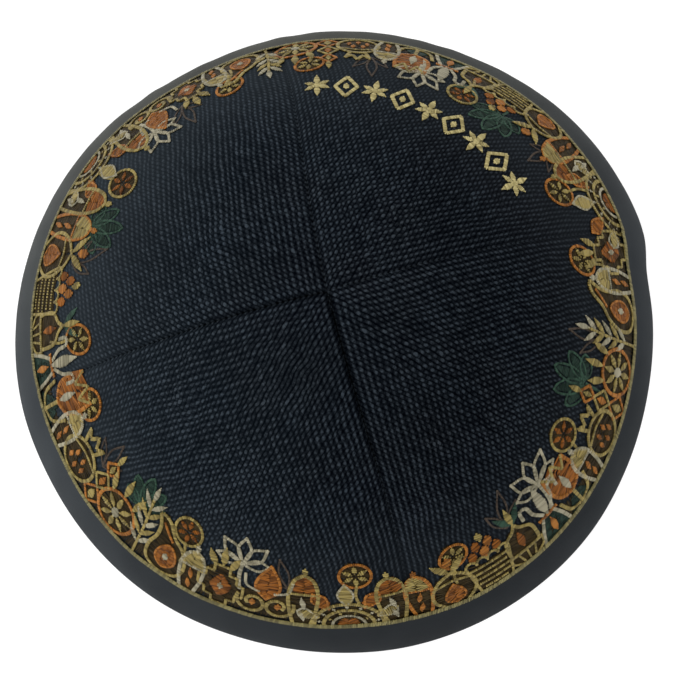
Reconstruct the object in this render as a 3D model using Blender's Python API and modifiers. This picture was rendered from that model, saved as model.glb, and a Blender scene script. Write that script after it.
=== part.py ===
"""Kippah skullcap: four cloth gores sewn into a shallow dome, with a binding round the rim.

Metres, +Z up. The rim stands on z = 0, with the middle of its box at the origin.
The seams lie near +X, +Y, -X and -Y. Angles are in degrees, counted from +X towards +Y.
"""
import math

import bmesh
import bpy
import numpy as np

# Driving dimensions of the whole cap
RIM_HALF_LENGTH = 0.0847        # half the rim's outside size along X
RIM_HALF_WIDTH = 0.0833         # half the rim's outside size along Y
CROWN_HEIGHT = 0.0525           # from the resting plane to the top of the cloth
FIT_GAP = 0.0003                # clearance between neighbouring pieces

# Panels
CLOTH_THICKNESS = 0.0016        # cloth and its backing together
PANEL_HEM = 0.0025              # how far the cloth stops above the rim, along the wall
PANEL_BULGE = 0.0006            # how far a panel's middle stands proud of the dome
PANEL_CELLS = 16                # mesh cells from the crown to the rim

# Binding
TAPE_THICKNESS = 0.0009
TAPE_HEIGHT = 0.0110            # outer leg, along the wall
TAPE_INNER_HEIGHT = 0.0100      # inner leg, along the wall
TAPE_ROUND = 0.0006             # rounding of the folded lower edge
SLOT_GAP = 0.0004               # clearance of the panels in the folded tape

# The seams, in order round the cap.
# Columns: name, angle at the rim, sideways bow half way up (degrees),
# depth of the sewn groove at the crown and at the rim (metres).
SEAMS = (
    ("right", 3.5, 0.0, 0.0007, 0.0004),
    ("back", 89.0, -3.0, 0.0012, 0.0003),
    ("left", 178.2, 1.0, 0.0008, 0.0003),
    ("front", 269.6, 2.2, 0.0012, 0.0003),
)
GROOVE_HALF_WIDTH = 0.0030      # from the seam to where the panel is full again

# The soft rim is not quite an oval. Columns: angle, outward departure (metres).
RIM_SHAPE = (
    (-3.5, -0.0012),
    (3.5, 0.0009),
    (15.0, 0.0013),
    (30.0, 0.0011),
    (45.0, 0.0001),
    (56.0, -0.0004),
    (75.0, -0.0003),
    (90.0, -0.0006),
    (101.0, -0.0010),
    (112.0, -0.0007),
    (124.0, 0.0004),
    (138.0, 0.0008),
    (157.0, 0.0007),
    (178.0, 0.0004),
    (194.0, -0.0004),
    (221.0, -0.0002),
    (240.0, -0.0005),
    (255.0, -0.0001),
    (269.0, 0.0006),
    (288.0, 0.0008),
    (306.0, 0.0005),
    (320.0, -0.0006),
    (334.0, -0.0014),
    (348.0, -0.0014),
)

# Sphere that the dome is part of. The panels lie under the tape by its gap and thickness.
TAPE_STAND_OFF = SLOT_GAP + TAPE_THICKNESS
RIM_RADIUS = 0.5 * (RIM_HALF_LENGTH + RIM_HALF_WIDTH) - TAPE_STAND_OFF
BALL_RADIUS = (RIM_RADIUS**2 + CROWN_HEIGHT**2) / (2 * CROWN_HEIGHT)
RIM_POLAR = math.asin(RIM_RADIUS / BALL_RADIUS)
WALL_LENGTH = BALL_RADIUS * RIM_POLAR


def rim_departure(angle):
    """Smooth closed curve through RIM_SHAPE, by cubic Hermite pieces."""
    rows = np.array(RIM_SHAPE)
    count = len(rows)
    angle = (angle - rows[0, 0]) % 360 + rows[0, 0]
    start = int(np.searchsorted(rows[:, 0], angle, side="right")) - 1

    def row(index):
        turns, place = divmod(index, count)
        return rows[place, 0] + 360 * turns, rows[place, 1]

    (a0, d0), (a1, d1), (a2, d2), (a3, d3) = [row(start + k) for k in (-1, 0, 1, 2)]
    slope_1 = (d2 - d0) / (a2 - a0)
    slope_2 = (d3 - d1) / (a3 - a1)
    span = a2 - a1
    t = (angle - a1) / span
    return ((2 * t**3 - 3 * t**2 + 1) * d1 + (t**3 - 2 * t**2 + t) * span * slope_1
            + (3 * t**2 - 2 * t**3) * d2 + (t**3 - t**2) * span * slope_2)


def rim_ratio(angle):
    """How far the rim lies from the middle at an angle, as a share of its mean radius."""
    turn = math.radians(angle)
    oval = 1 / math.hypot(math.cos(turn) / RIM_HALF_LENGTH, math.sin(turn) / RIM_HALF_WIDTH)
    mean = 0.5 * (RIM_HALF_LENGTH + RIM_HALF_WIDTH)
    return (oval + rim_departure(angle)) / mean


def seam_angle(index, level):
    """Angle of a seam at a level, 0 at the crown and 1 at the rim."""
    turns, place = divmod(index, len(SEAMS))
    _, rim_angle, bow, _, _ = SEAMS[place]
    return rim_angle + 360 * turns + bow * math.sin(math.pi * min(level, 1.0))


def seam_depth(index, level):
    """Depth of a seam's groove at a level."""
    _, _, _, crown_depth, rim_depth = SEAMS[index % len(SEAMS)]
    return crown_depth + (rim_depth - crown_depth) * min(level, 1.0)


def smooth_dome(angle, level):
    """Point of the dome before its grooves and bulges."""
    polar = level * RIM_POLAR
    swell = 1 + (rim_ratio(angle) - 1) * level**2
    radius = BALL_RADIUS * math.sin(polar) * swell
    turn = math.radians(angle)
    height = BALL_RADIUS * math.cos(polar) - (BALL_RADIUS - CROWN_HEIGHT)
    return np.array((radius * math.cos(turn), radius * math.sin(turn), height))


def dome_normal(angle, level):
    """Outward direction of the smooth dome."""
    if level < 0.01:
        return np.array((0.0, 0.0, 1.0))
    step_angle, step_level = 0.5, 0.002
    around = smooth_dome(angle + step_angle, level) - smooth_dome(angle - step_angle, level)
    down = smooth_dome(angle, level + step_level) - smooth_dome(angle, level - step_level)
    normal = np.cross(down, around)
    return normal / np.linalg.norm(normal)


def relief(angle, level, grooved=True):
    """Height of the sewn surface over the smooth dome: panels bulge, seams are drawn in."""
    radius = max(BALL_RADIUS * math.sin(level * RIM_POLAR), 1e-6)
    for index in range(-1, len(SEAMS)):
        first, last = seam_angle(index, level), seam_angle(index + 1, level)
        place = (angle - first) % 360
        if place <= last - first:
            break
    share = place / (last - first)
    bulge = PANEL_BULGE * math.sin(math.pi * share) * math.sin(math.pi * min(level, 1.0))
    if not grooved:
        return bulge
    drop = 0.0
    for seam, away in ((index, place), (index + 1, last - first - place)):
        distance = radius * math.radians(away)
        fall = math.exp(-(distance / GROOVE_HALF_WIDTH)**2)
        drop = max(drop, seam_depth(seam, level) * fall)
    return bulge - drop


def sewn_surface(angle, level, stand_off=0.0, grooved=True):
    """Point that lies stand_off outside the sewn cloth, or outside it with its seams filled."""
    rise = relief(angle, level, grooved) + stand_off
    return smooth_dome(angle, level) + dome_normal(angle, level) * rise


def over_seams(angle, level, stand_off):
    """Point of the tape's outer leg, which is stretched straight over the seams."""
    return sewn_surface(angle, level, stand_off, grooved=False)


def level_up_from_rim(length):
    """Level that lies a length up the wall from the rim."""
    return 1 - length / WALL_LENGTH


def rim_middle():
    """Middle of the rim's box, which the whole cap is moved by."""
    points = np.array([over_seams(a, 1.0, TAPE_STAND_OFF)[:2] for a in range(360)])
    middle = 0.5 * (points.max(axis=0) + points.min(axis=0))
    return np.array((middle[0], middle[1], 0.0))


def cloth_material(name, colour, roughness):
    """One matt cloth."""
    material = bpy.data.materials.new(name)
    material.use_nodes = True
    shader = material.node_tree.nodes["Principled BSDF"]
    shader.inputs["Base Color"].default_value = (*colour, 1.0)
    shader.inputs["Roughness"].default_value = roughness
    shader.inputs["Metallic"].default_value = 0.0
    return material


def finished_object(name, mesh_builder, collection, material):
    """Turn a bmesh into a named, smooth shaded object."""
    mesh = bpy.data.meshes.new(name)
    bmesh.ops.recalc_face_normals(mesh_builder, faces=mesh_builder.faces)
    mesh_builder.to_mesh(mesh)
    mesh_builder.free()
    mesh.shade_smooth()
    mesh.set_sharp_from_angle(angle=math.radians(40))
    mesh.materials.append(material)
    piece = bpy.data.objects.new(name, mesh)
    collection.objects.link(piece)
    return piece


def make_panel(name, seam, collection, material, middle):
    """One gore, from its seam to the next: an open sheet given its thickness inwards.

    The sheet is a square grid bent into a quarter disc, its corner at the crown, so that
    its cells stay alike in size from the crown to the rim.
    """
    sheet = bmesh.new()
    lowest = level_up_from_rim(PANEL_HEM)
    half_gap = 0.5 * FIT_GAP
    grid = {}
    for i in range(PANEL_CELLS + 1):
        for j in range(PANEL_CELLS + 1):
            ring = max(i, j)
            if ring == 0:
                level = half_gap * math.sqrt(2) / WALL_LENGTH
                share = 0.5
                inset = 0.0
            else:
                level = lowest * ring / PANEL_CELLS
                share = 0.5 * j / i if i >= j else 1 - 0.5 * i / j
                inset = math.degrees(half_gap / (BALL_RADIUS * math.sin(level * RIM_POLAR)))
            first = seam_angle(seam, level) + inset
            last = seam_angle(seam + 1, level) - inset
            point = sewn_surface(first + (last - first) * share, level)
            grid[i, j] = sheet.verts.new(point - middle)
    for i in range(PANEL_CELLS):
        for j in range(PANEL_CELLS):
            sheet.faces.new((grid[i, j], grid[i + 1, j], grid[i + 1, j + 1], grid[i, j + 1]))
    panel = finished_object(name, sheet, collection, material)
    if panel.data.polygons[0].normal.z < 0:
        panel.data.flip_normals()
    wall = panel.modifiers.new("cloth thickness", "SOLIDIFY")
    wall.thickness = CLOTH_THICKNESS
    wall.offset = -1.0
    wall.use_even_offset = True
    return panel


def tape_section(angle):
    """The binding's U at one angle, from the outer lower edge up, down the slot and back."""
    outer_top = level_up_from_rim(TAPE_HEIGHT)
    inner_top = level_up_from_rim(TAPE_INNER_HEIGHT)
    outer_middle = 0.5 * (1 + outer_top)
    inner_middle = 0.5 * (1 + inner_top)
    slot_foot = level_up_from_rim(PANEL_HEM - SLOT_GAP)
    rounding = 0.5 * TAPE_THICKNESS / WALL_LENGTH
    slot_in = -CLOTH_THICKNESS - SLOT_GAP
    head_side = slot_in - TAPE_THICKNESS

    outer_foot = over_seams(angle, 1.0, TAPE_STAND_OFF)
    inner_foot = sewn_surface(angle, 1.0, head_side)
    inward = inner_foot[:2] - outer_foot[:2]
    inward = np.append(inward / np.linalg.norm(inward), 0.0)
    lift = np.array((0.0, 0.0, 1.0))
    outer_edge = np.append(outer_foot[:2], 0.0)
    inner_edge = np.append(inner_foot[:2], 0.0)
    return [
        outer_edge + inward * TAPE_ROUND,
        outer_edge + lift * TAPE_ROUND,
        over_seams(angle, outer_middle, TAPE_STAND_OFF),
        over_seams(angle, outer_top + rounding, TAPE_STAND_OFF),
        over_seams(angle, outer_top - rounding, SLOT_GAP + 0.5 * TAPE_THICKNESS),
        over_seams(angle, outer_top + rounding, SLOT_GAP),
        over_seams(angle, outer_middle, SLOT_GAP),
        over_seams(angle, slot_foot, SLOT_GAP),
        sewn_surface(angle, slot_foot, slot_in),
        sewn_surface(angle, inner_middle, slot_in),
        sewn_surface(angle, inner_top + rounding, slot_in),
        sewn_surface(angle, inner_top - rounding, slot_in - 0.5 * TAPE_THICKNESS),
        sewn_surface(angle, inner_top + rounding, head_side),
        sewn_surface(angle, inner_middle, head_side),
        inner_edge + lift * TAPE_ROUND,
        inner_edge - inward * TAPE_ROUND,
    ]


def make_binding(name, collection, material, middle):
    """Bias tape folded over the panels' lower edge: one U section lofted round the rim."""
    tape = bmesh.new()
    rings = []
    for seam in range(len(SEAMS)):
        first, last = seam_angle(seam, 1.0), seam_angle(seam + 1, 1.0)
        for step in range(2 * PANEL_CELLS):
            angle = first + (last - first) * step / (2 * PANEL_CELLS)
            rings.append([tape.verts.new(point - middle) for point in tape_section(angle)])
    for here, there in zip(rings, rings[1:] + rings[:1]):
        for k in range(len(here)):
            after = (k + 1) % len(here)
            tape.faces.new((here[k], there[k], there[after], here[after]))
    return finished_object(name, tape, collection, material)


for old in list(bpy.data.objects):
    bpy.data.objects.remove(old, do_unlink=True)

cap = bpy.data.collections.new("kippah_skullcap")
bpy.context.scene.collection.children.link(cap)
weave = cloth_material("navy woven cloth", (0.010, 0.012, 0.018), 0.85)
tape_cloth = cloth_material("charcoal binding", (0.035, 0.038, 0.046), 0.75)
centre = rim_middle()

panel_names = ("panel_back_right", "panel_back_left", "panel_front_left", "panel_front_right")
for seam_index, panel_name in enumerate(panel_names):
    make_panel(panel_name, seam_index, cap, weave, centre)
make_binding("rim_binding", cap, tape_cloth, centre)
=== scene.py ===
import math

import bpy
import numpy as np
from mathutils import Matrix


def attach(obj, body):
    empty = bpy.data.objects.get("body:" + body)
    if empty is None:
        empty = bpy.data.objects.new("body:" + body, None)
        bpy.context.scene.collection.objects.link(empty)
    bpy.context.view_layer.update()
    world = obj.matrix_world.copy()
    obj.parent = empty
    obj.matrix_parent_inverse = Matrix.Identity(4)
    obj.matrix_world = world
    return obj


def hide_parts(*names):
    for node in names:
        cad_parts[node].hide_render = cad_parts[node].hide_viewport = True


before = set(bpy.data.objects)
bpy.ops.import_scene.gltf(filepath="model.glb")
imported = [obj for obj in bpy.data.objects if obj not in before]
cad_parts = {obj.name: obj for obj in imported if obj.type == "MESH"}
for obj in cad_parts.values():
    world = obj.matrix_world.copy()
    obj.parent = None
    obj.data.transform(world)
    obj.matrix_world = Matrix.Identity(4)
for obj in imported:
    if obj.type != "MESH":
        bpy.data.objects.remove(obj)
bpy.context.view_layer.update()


# The four panels
# Each gore is a quarter of the crown, cut from a coarse near-black navy plain weave with its
# warp along the gore's middle. The cloth is backed, drawn in at the seams to its neighbours,
# pressed flat where it is backed for embroidery, and ends inside the folded binding.
RIM_HALF_LENGTH = 0.0847
RIM_HALF_WIDTH = 0.0833
CROWN_HEIGHT = 0.0525
CLOTH_THICKNESS = 0.0016
PANEL_HEM = 0.0025
PANEL_BULGE = 0.0006
TAPE_STAND_OFF = 0.0013
GROOVE_HALF_WIDTH = 0.0030

# Seams: name, angle at the rim, sideways bow (degrees), groove depth at the crown and the rim
SEAMS = (
    ("right", 3.5, 0.0, 0.0003, 0.0004),
    ("back", 89.0, -3.0, 0.0007, 0.0003),
    ("left", 178.2, 1.0, 0.0005, 0.0003),
    ("front", 269.6, 2.2, 0.0012, 0.0003),
)

# The soft rim's outward departure from an oval: angle, metres
RIM_SHAPE = (
    (-3.5, -0.0012), (3.5, 0.0009), (15.0, 0.0013), (30.0, 0.0011), (45.0, 0.0001),
    (56.0, -0.0004), (75.0, -0.0003), (90.0, -0.0006), (101.0, -0.0010), (112.0, -0.0007),
    (124.0, 0.0004), (138.0, 0.0008), (157.0, 0.0007), (178.0, 0.0004), (194.0, -0.0004),
    (221.0, -0.0002), (240.0, -0.0005), (255.0, -0.0001), (269.0, 0.0006), (288.0, 0.0008),
    (306.0, 0.0005), (320.0, -0.0006), (334.0, -0.0014), (348.0, -0.0014),
)
RIM_MEAN = 0.5 * (RIM_HALF_LENGTH + RIM_HALF_WIDTH)
RIM_RADIUS = RIM_MEAN - TAPE_STAND_OFF
BALL_RADIUS = (RIM_RADIUS**2 + CROWN_HEIGHT**2) / (2 * CROWN_HEIGHT)
RIM_POLAR = math.asin(RIM_RADIUS / BALL_RADIUS)
WALL_LENGTH = BALL_RADIUS * RIM_POLAR
rim_middle = np.zeros(3)        # the cap is moved by this, so that its box is centred


def smooth_round(table, angle):
    """Smooth closed curve through a table of angles and values, by cubic Hermite pieces."""
    rows = np.array(table)
    turn = np.array((360.0, 0.0))
    rows = np.vstack([rows[-2:] - turn, rows, rows[:3] + turn])
    angle = (angle - table[0][0]) % 360 + table[0][0]
    start = np.searchsorted(rows[:, 0], angle, side="right") - 1
    slope = np.zeros(len(rows))
    slope[1:-1] = (rows[2:, 1] - rows[:-2, 1]) / (rows[2:, 0] - rows[:-2, 0])
    span = rows[start + 1, 0] - rows[start, 0]
    t = (angle - rows[start, 0]) / span
    ends = (2 * t**3 - 3 * t**2 + 1) * rows[start, 1] + (3 * t**2 - 2 * t**3) * rows[start + 1, 1]
    return ends + span * ((t**3 - 2 * t**2 + t) * slope[start] + (t**3 - t**2) * slope[start + 1])


def seam_angle(index, level):
    """Angle of a seam at a level, 0 at the crown and 1 at the rim."""
    turns, place = divmod(index, len(SEAMS))
    _, rim_angle, bow, _, _ = SEAMS[place]
    return rim_angle + 360 * turns + bow * np.sin(np.pi * np.minimum(level, 1.0))


def smooth_dome(angle, level):
    """Points of the dome before its grooves and bulges."""
    turn, polar = np.radians(angle), level * RIM_POLAR
    oval = 1 / np.hypot(np.cos(turn) / RIM_HALF_LENGTH, np.sin(turn) / RIM_HALF_WIDTH)
    swell = 1 + ((oval + smooth_round(RIM_SHAPE, angle)) / RIM_MEAN - 1) * level**2
    radius = BALL_RADIUS * np.sin(polar) * swell
    height = BALL_RADIUS * np.cos(polar) - (BALL_RADIUS - CROWN_HEIGHT)
    return np.stack([radius * np.cos(turn), radius * np.sin(turn), height], -1)


def dome_normal(angle, level):
    """Outward directions of the smooth dome."""
    step_angle, step_level = 0.5, 0.002
    level = np.maximum(level, 0.01)
    around = smooth_dome(angle + step_angle, level) - smooth_dome(angle - step_angle, level)
    down = smooth_dome(angle, level + step_level) - smooth_dome(angle, level - step_level)
    normal = np.cross(down, around)
    return normal / np.linalg.norm(normal, axis=-1, keepdims=True)


def relief(angle, level, grooved=True):
    """Height of the sewn surface over the smooth dome: panels bulge, seams are drawn in."""
    radius = BALL_RADIUS * np.sin(level * RIM_POLAR)
    bulge, groove = 0.0, 0.0
    for index, (_, _, _, crown_depth, rim_depth) in enumerate(SEAMS):
        first, last = seam_angle(index, level), seam_angle(index + 1, level)
        share = np.clip((angle - first + 1e-9) % 360 / (last - first), 0, 1)
        bulge = bulge + PANEL_BULGE * np.sin(np.pi * share) * np.sin(np.pi * np.minimum(level, 1))
        away = radius * np.radians((angle - first + 180) % 360 - 180)
        depth = crown_depth + (rim_depth - crown_depth) * np.minimum(level, 1)
        groove = np.maximum(groove, depth * np.exp(-(away / GROOVE_HALF_WIDTH)**2))
    return bulge - groove if grooved else bulge


def sewn_surface(angle, level, stand_off=0.0, grooved=True):
    """Points that lie stand_off outside the sewn cloth, in the frame's own place."""
    angle, level, stand_off = np.broadcast_arrays(*map(np.float64, (angle, level, stand_off)))
    rise = relief(angle, level, grooved) + stand_off
    return smooth_dome(angle, level) + dome_normal(angle, level) * rise[..., None] - rim_middle


def level_up_from_rim(length):
    """Level that lies a length up the wall from the rim."""
    return 1 - length / WALL_LENGTH


rim_line = sewn_surface(np.arange(360), 1.0, TAPE_STAND_OFF, grooved=False)
rim_middle = 0.5 * (rim_line.max(axis=0) + rim_line.min(axis=0)) * (1, 1, 0)

THREAD_PITCH = 0.00101          # from one thread to the next
CELLS_PER_THREAD = 2            # mesh cells across one thread
CELL = THREAD_PITCH / CELLS_PER_THREAD
INNER_CELLS = 40                # cells of the plain inner side, from the crown to its end
WEAVE_RELIEF = 0.00040          # from the gaps up to the floats
WEAVE_MIDDLE = 0.75             # share of the relief that lies below the sewn surface
PRESSED_RELIEF = 0.30           # share of it that is left where the cloth is pressed flat
PRESS_WIDTH = 0.40              # levels over which the weave fades into the pressed border
WANDER = 0.00020                # how far threads stray from straight
WANDER_FROM = 0.006             # they stray in full from this distance to a seam
FLOAT_UNEVEN = 0.12             # how unevenly the floats rise, by chance
SLANT = 0.52                    # how far the yarn's twist slants the floats
SLANT_UNEVEN = 0.20
SLANT_GROWTH = (0.85, 1.1)      # share of the slant at the crown, and what the rim adds
MOST_SLANT = 0.88
MERGING = 0.58                  # how far fully slanted floats merge into ridges
RIBBED, RIBBED_UNEVEN, RIBBED_PRESSED = 0.10, 0.15, 0.15
SEAM_GAP = 0.000004             # half the gap between two sewn panels
SEAM_TUCKS = ((0.0003, 0.0002), (0.0005, 0.0003), (0.0009, 0.0005), (0.0013, 0.0004))
                                # how far each seam's edge turns down, at the crown and the rim
DEEPEST_TUCK = max(map(max, SEAM_TUCKS))
TUCK_RUN = (0.015, 0.055)       # metres from the crown, between which it changes
TUCK_WIDTH = 0.0005
TUCK_FADE = 0.50                # share of the tuck that is lost at the rim
SHADE_WIDTH = 0.00033           # of the painted shade along a seam
SHADE_FADE = 0.60
PANEL_END = level_up_from_rim(PANEL_HEM)
SHEEN_STRONGEST_AT = 148                 # angle of the rim towards the window, where the painted sheen on the cloth is strongest
SHEEN_ALL_ROUND = 0.20               # share of that all round the rim

# Painted light and shade on the cloth, a softly lit place and one in deeper shade: angle, level, width
# in levels, change
PAINTED_LIGHT_PATCHES = ((200, 0.30, 0.20, 0.06), (-28, 0.40, 0.16, -0.25))

# Which diagonal the floats lean to round the cap: angle, share
LEANING = (
    (-30.0, -0.90), (-10.0, -1.00), (10.0, -1.20), (30.0, -0.80), (50.0, -0.30), (70.0, 0.40),
    (90.0, 0.90), (110.0, 1.50), (130.0, 1.40), (150.0, 1.00), (170.0, 0.60), (190.0, -0.80),
    (210.0, -1.00), (230.0, 0.00), (250.0, 0.90), (270.0, 1.40), (290.0, 1.10), (310.0, 0.10),
)

# Where the weave has faded into the pressed border: angle, level
PRESSED_FROM = (
    (-10.0, 0.79), (8.0, 0.72), (20.0, 0.70), (45.0, 0.70), (68.0, 0.72), (86.0, 0.76),
    (105.0, 0.76), (125.0, 0.69), (143.0, 0.67), (171.0, 0.72), (200.0, 0.82), (214.0, 0.88),
    (255.0, 0.89), (296.0, 0.88), (335.0, 0.82), (350.0, 0.80),
)


def soft_waves(x, y, wavelength, seed):
    """Sum of a few slanted waves: a repeatable wobble between about -1 and 1."""
    draw = np.random.default_rng(seed)
    total = np.zeros(np.broadcast(x, y).shape)
    for _ in range(7):
        heading, phase = draw.uniform(0, 2 * np.pi, 2)
        length = wavelength * draw.uniform(0.6, 1.6)
        total += np.sin(2 * np.pi * (x * np.cos(heading) + y * np.sin(heading)) / length + phase)
    return total / 3.2


def smooth_step(low, high, value):
    """0 below low, 1 above high and smooth between."""
    t = np.clip((value - low) / (high - low), 0, 1)
    return t * t * (3 - 2 * t)


def pressed_share(angle, level):
    """How far the cloth is pressed flat: 0 in the open weave, 1 in the border."""
    rows = np.array(PRESSED_FROM)
    edge = np.interp((angle + 10) % 360 - 10, rows[:, 0], rows[:, 1], period=360)
    return smooth_step(edge - PRESS_WIDTH, edge, level)


# Places where floats have merged into ribs: gore, millimetres down its middle and across,
# radius, share
RIBBED_AT = ((2, 20, 0, 18, 0.60), (3, 16, -3, 10, 0.40))


def ribbed_share(seam, p, q, pressed):
    """How far the floats have merged into ribs, at places down the gore and across it."""
    total = RIBBED + RIBBED_UNEVEN * soft_waves(p, q, 0.030, 71 + seam) + RIBBED_PRESSED * pressed
    for gore, down, across, size, share in RIBBED_AT:
        if gore == seam:
            total = total + share * np.exp(-((1000 * p - down)**2 + (1000 * q - across)**2) / size**2)
    return np.clip(total, 0, 1)


def float_slant(seam, p, q, angle, level, ribbed):
    """How far the floats lean, and to which diagonal."""
    slant = smooth_round(LEANING, angle) + SLANT_UNEVEN * soft_waves(p, q, 0.040, 111 + seam)
    slant = SLANT * slant * (1 if seam % 2 == 0 else -1) * (1 - ribbed)
    slant = slant * (SLANT_GROWTH[0] + SLANT_GROWTH[1] * level**2)
    return np.clip(slant, -MOST_SLANT, MOST_SLANT)


def weave_height(u, v, ribbed, slant, seed):
    """Height of a plain weave, u and v counted in threads: 0 in the gaps, 1 on the warp floats.

    The warp runs along u. Where ribbed is 1, its floats have merged into ribs, and where slant
    isn't 0 all floats lean to one diagonal, and merge into ridges along it.
    """
    ridge = 0.45 + 0.45 * np.cos(np.pi * (u - np.sign(slant) * v))
    u, v = (u + slant / np.pi * np.cos(np.pi * u) * np.sin(np.pi * v),
            v - slant / np.pi * np.sin(np.pi * u) * np.cos(np.pi * v))
    warp, weft = np.round(v), np.round(u)

    # Each float is highest at its middle, and the warp's stand over the weft's
    warp_lift = 0.66 + 0.34 * np.cos(np.pi * (u + warp)) * (1 - ribbed)
    weft_lift = 0.66 + 0.14 * np.cos(np.pi * (v + weft + 1)) - 0.4 * ribbed
    over = warp_lift * np.cos(np.pi * (v - warp))**0.8
    under = weft_lift * np.cos(np.pi * (u - weft))**0.8

    # A draw for each float
    draws = 400
    uneven = np.random.default_rng(seed).uniform(-FLOAT_UNEVEN, FLOAT_UNEVEN, (draws, draws))
    float_at = 2 * np.round((u + warp) / 2) - warp
    uneven = uneven[float_at.astype(int) % draws, warp.astype(int) % draws]
    merged = MERGING * np.abs(slant)**1.5
    return np.maximum(over, under) * (1 - merged) + ridge * merged + uneven


def seam_tuck(seam, p, q, off_seam, level):
    """How far the cloth turns down at the gore's two seams, and how much shade is painted along the
    line there.
    """
    first, last = SEAM_TUCKS[seam], SEAM_TUCKS[(seam + 1) % len(SEAMS)]
    at_crown, at_rim = (np.where(q < 0, first[end], last[end]) for end in (0, 1))
    tuck = at_rim + (at_crown - at_rim) * (1 - smooth_step(*TUCK_RUN, p))
    # Painted shade in the seam's groove, darkest where the tuck is deepest
    shade = tuck / DEEPEST_TUCK * np.exp(-(off_seam / SHADE_WIDTH)**2)
    return (tuck * np.exp(-(off_seam / TUCK_WIDTH)**2) * (1 - TUCK_FADE * level**1.5),
            shade * (1 - SHADE_FADE * level**1.5))


def painted_light_at(angle, level):
    """Painted light on the cloth: a sheen, most at the rim on the window's side, with a soft patch of
    painted light and one of painted shade.
    """
    def facing(middle):
        return np.cos(np.radians(angle - middle))

    painted_light = level**2 * (SHEEN_ALL_ROUND + (1 - SHEEN_ALL_ROUND) * (0.5 + 0.5 * facing(SHEEN_STRONGEST_AT))**1.5)
    for middle, height, width, change in PAINTED_LIGHT_PATCHES:
        painted_light = painted_light + change * np.maximum(facing(middle), 0) * np.exp(-((level - height) / width)**2)
    return painted_light


def woven_sheet(reach):
    """Square lattice on the threads of one gore, cut at both seams and at its lower end.

    Gives the lattice places i (along the warp) and j (across), the faces, and the border.
    """
    size = int(reach / CELL) + 2
    i, j = np.meshgrid(np.arange(size), np.arange(-size, size + 1), indexing="ij")
    inside = (np.abs(j) <= i) & (np.hypot(i, j) * CELL < reach)
    number = np.where(inside, np.cumsum(inside).reshape(inside.shape) - 1, -1)
    corners = np.stack([number[:-1, :-1], number[1:, :-1], number[1:, 1:], number[:-1, 1:]], -1)
    corners = corners.reshape(-1, 4)
    found = (corners >= 0).sum(axis=1)
    faces = corners[found == 4].tolist()
    faces += [[corner for corner in face if corner >= 0] for face in corners[found == 3].tolist()]
    used, flat = np.unique(np.concatenate(faces), return_inverse=True)
    ends = np.cumsum([len(face) for face in faces])
    faces = [part.tolist() for part in np.split(flat, ends[:-1])]
    edges = {(a, b) for face in faces for a, b in zip(face, face[1:] + face[:1])}
    after = {a: b for a, b in edges if (b, a) not in edges}
    border = [0]
    while after[border[-1]] != 0:
        border.append(after[border[-1]])
    return i[inside][used], j[inside][used], faces, np.array(border)


def joined_border(outer, outer_at, inner, inner_at):
    """Faces of the wall between two edge loops, walked by their places along the border."""
    faces, a, b = [], 0, 0
    while a < len(outer) - 1 or b < len(inner) - 1:
        if b == len(inner) - 1 or (a < len(outer) - 1 and outer_at[a + 1] <= inner_at[b + 1]):
            faces.append((outer[a + 1], outer[a], inner[b]))
            a += 1
        else:
            faces.append((outer[a], inner[b], inner[b + 1]))
            b += 1
    return faces


def gore_place(seam, radius, share):
    """Angle and level in a gore, from the length down from the crown and the share across."""
    level = radius / WALL_LENGTH
    inset = np.degrees(SEAM_GAP / (BALL_RADIUS * np.sin(np.maximum(level, 0.004) * RIM_POLAR)))
    first, last = seam_angle(seam, level) + inset, seam_angle(seam + 1, level) - inset
    return first + (last - first) * share, level


def woven_skin(seam, reach):
    """The outer side of a gore.

    Gives its points, faces and thread places, the values that its material reads, and the
    border with its places, from 0 to 3: down one seam, along the hem, and up the other seam.
    """
    i, j, faces, border = woven_sheet(reach)
    p, q = i * CELL, j * CELL
    off_seam = (p - np.abs(q)) / math.sqrt(2)

    # Threads wander a little, but not at the seams
    loose = WANDER * smooth_step(0.0, WANDER_FROM, off_seam)
    p2 = p + loose * soft_waves(p, q, 0.014, 11 + seam)
    q2 = q + loose * (soft_waves(p, q, 0.012, 31 + seam) + 0.7 * soft_waves(p, q, 0.005, 51 + seam))
    radius = np.minimum(np.hypot(p2, q2), reach)
    at_end = border[(np.abs(j[border]) < i[border]) | (np.hypot(p, q)[border] > reach - CELL)]
    radius[at_end] = reach
    share = np.clip(np.arctan2(q2, p2) / (0.5 * np.pi) + 0.5, 0, 1)
    angle, level = gore_place(seam, radius, share)

    pressed = pressed_share(angle, level)
    ribbed = ribbed_share(seam, p, q, pressed)
    slant = float_slant(seam, p, q, angle, level, ribbed)
    tuck, painted_seam_shade = seam_tuck(seam, p, q, off_seam, level)
    height = weave_height(i / CELLS_PER_THREAD, j / CELLS_PER_THREAD, ribbed, slant, 91 + seam)
    relief_left = 1 - (1 - PRESSED_RELIEF) * pressed
    skin = sewn_surface(angle, level, WEAVE_RELIEF * (height - WEAVE_MIDDLE) * relief_left - tuck)
    carried = {"pressed": pressed, "ribbed": ribbed, "slant": slant, "painted_seam_shade": painted_seam_shade,
               "painted_light": painted_light_at(angle, level)}

    down = radius[border] / reach
    border_at = np.where(j[border] == -i[border], down,
                         np.where(j[border] == i[border], 3 - down, 1 + share[border]))
    return (skin, faces, np.stack([i, j], -1) / CELLS_PER_THREAD, carried,
            border.tolist() + [0], border_at.tolist() + [3.0])


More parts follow.
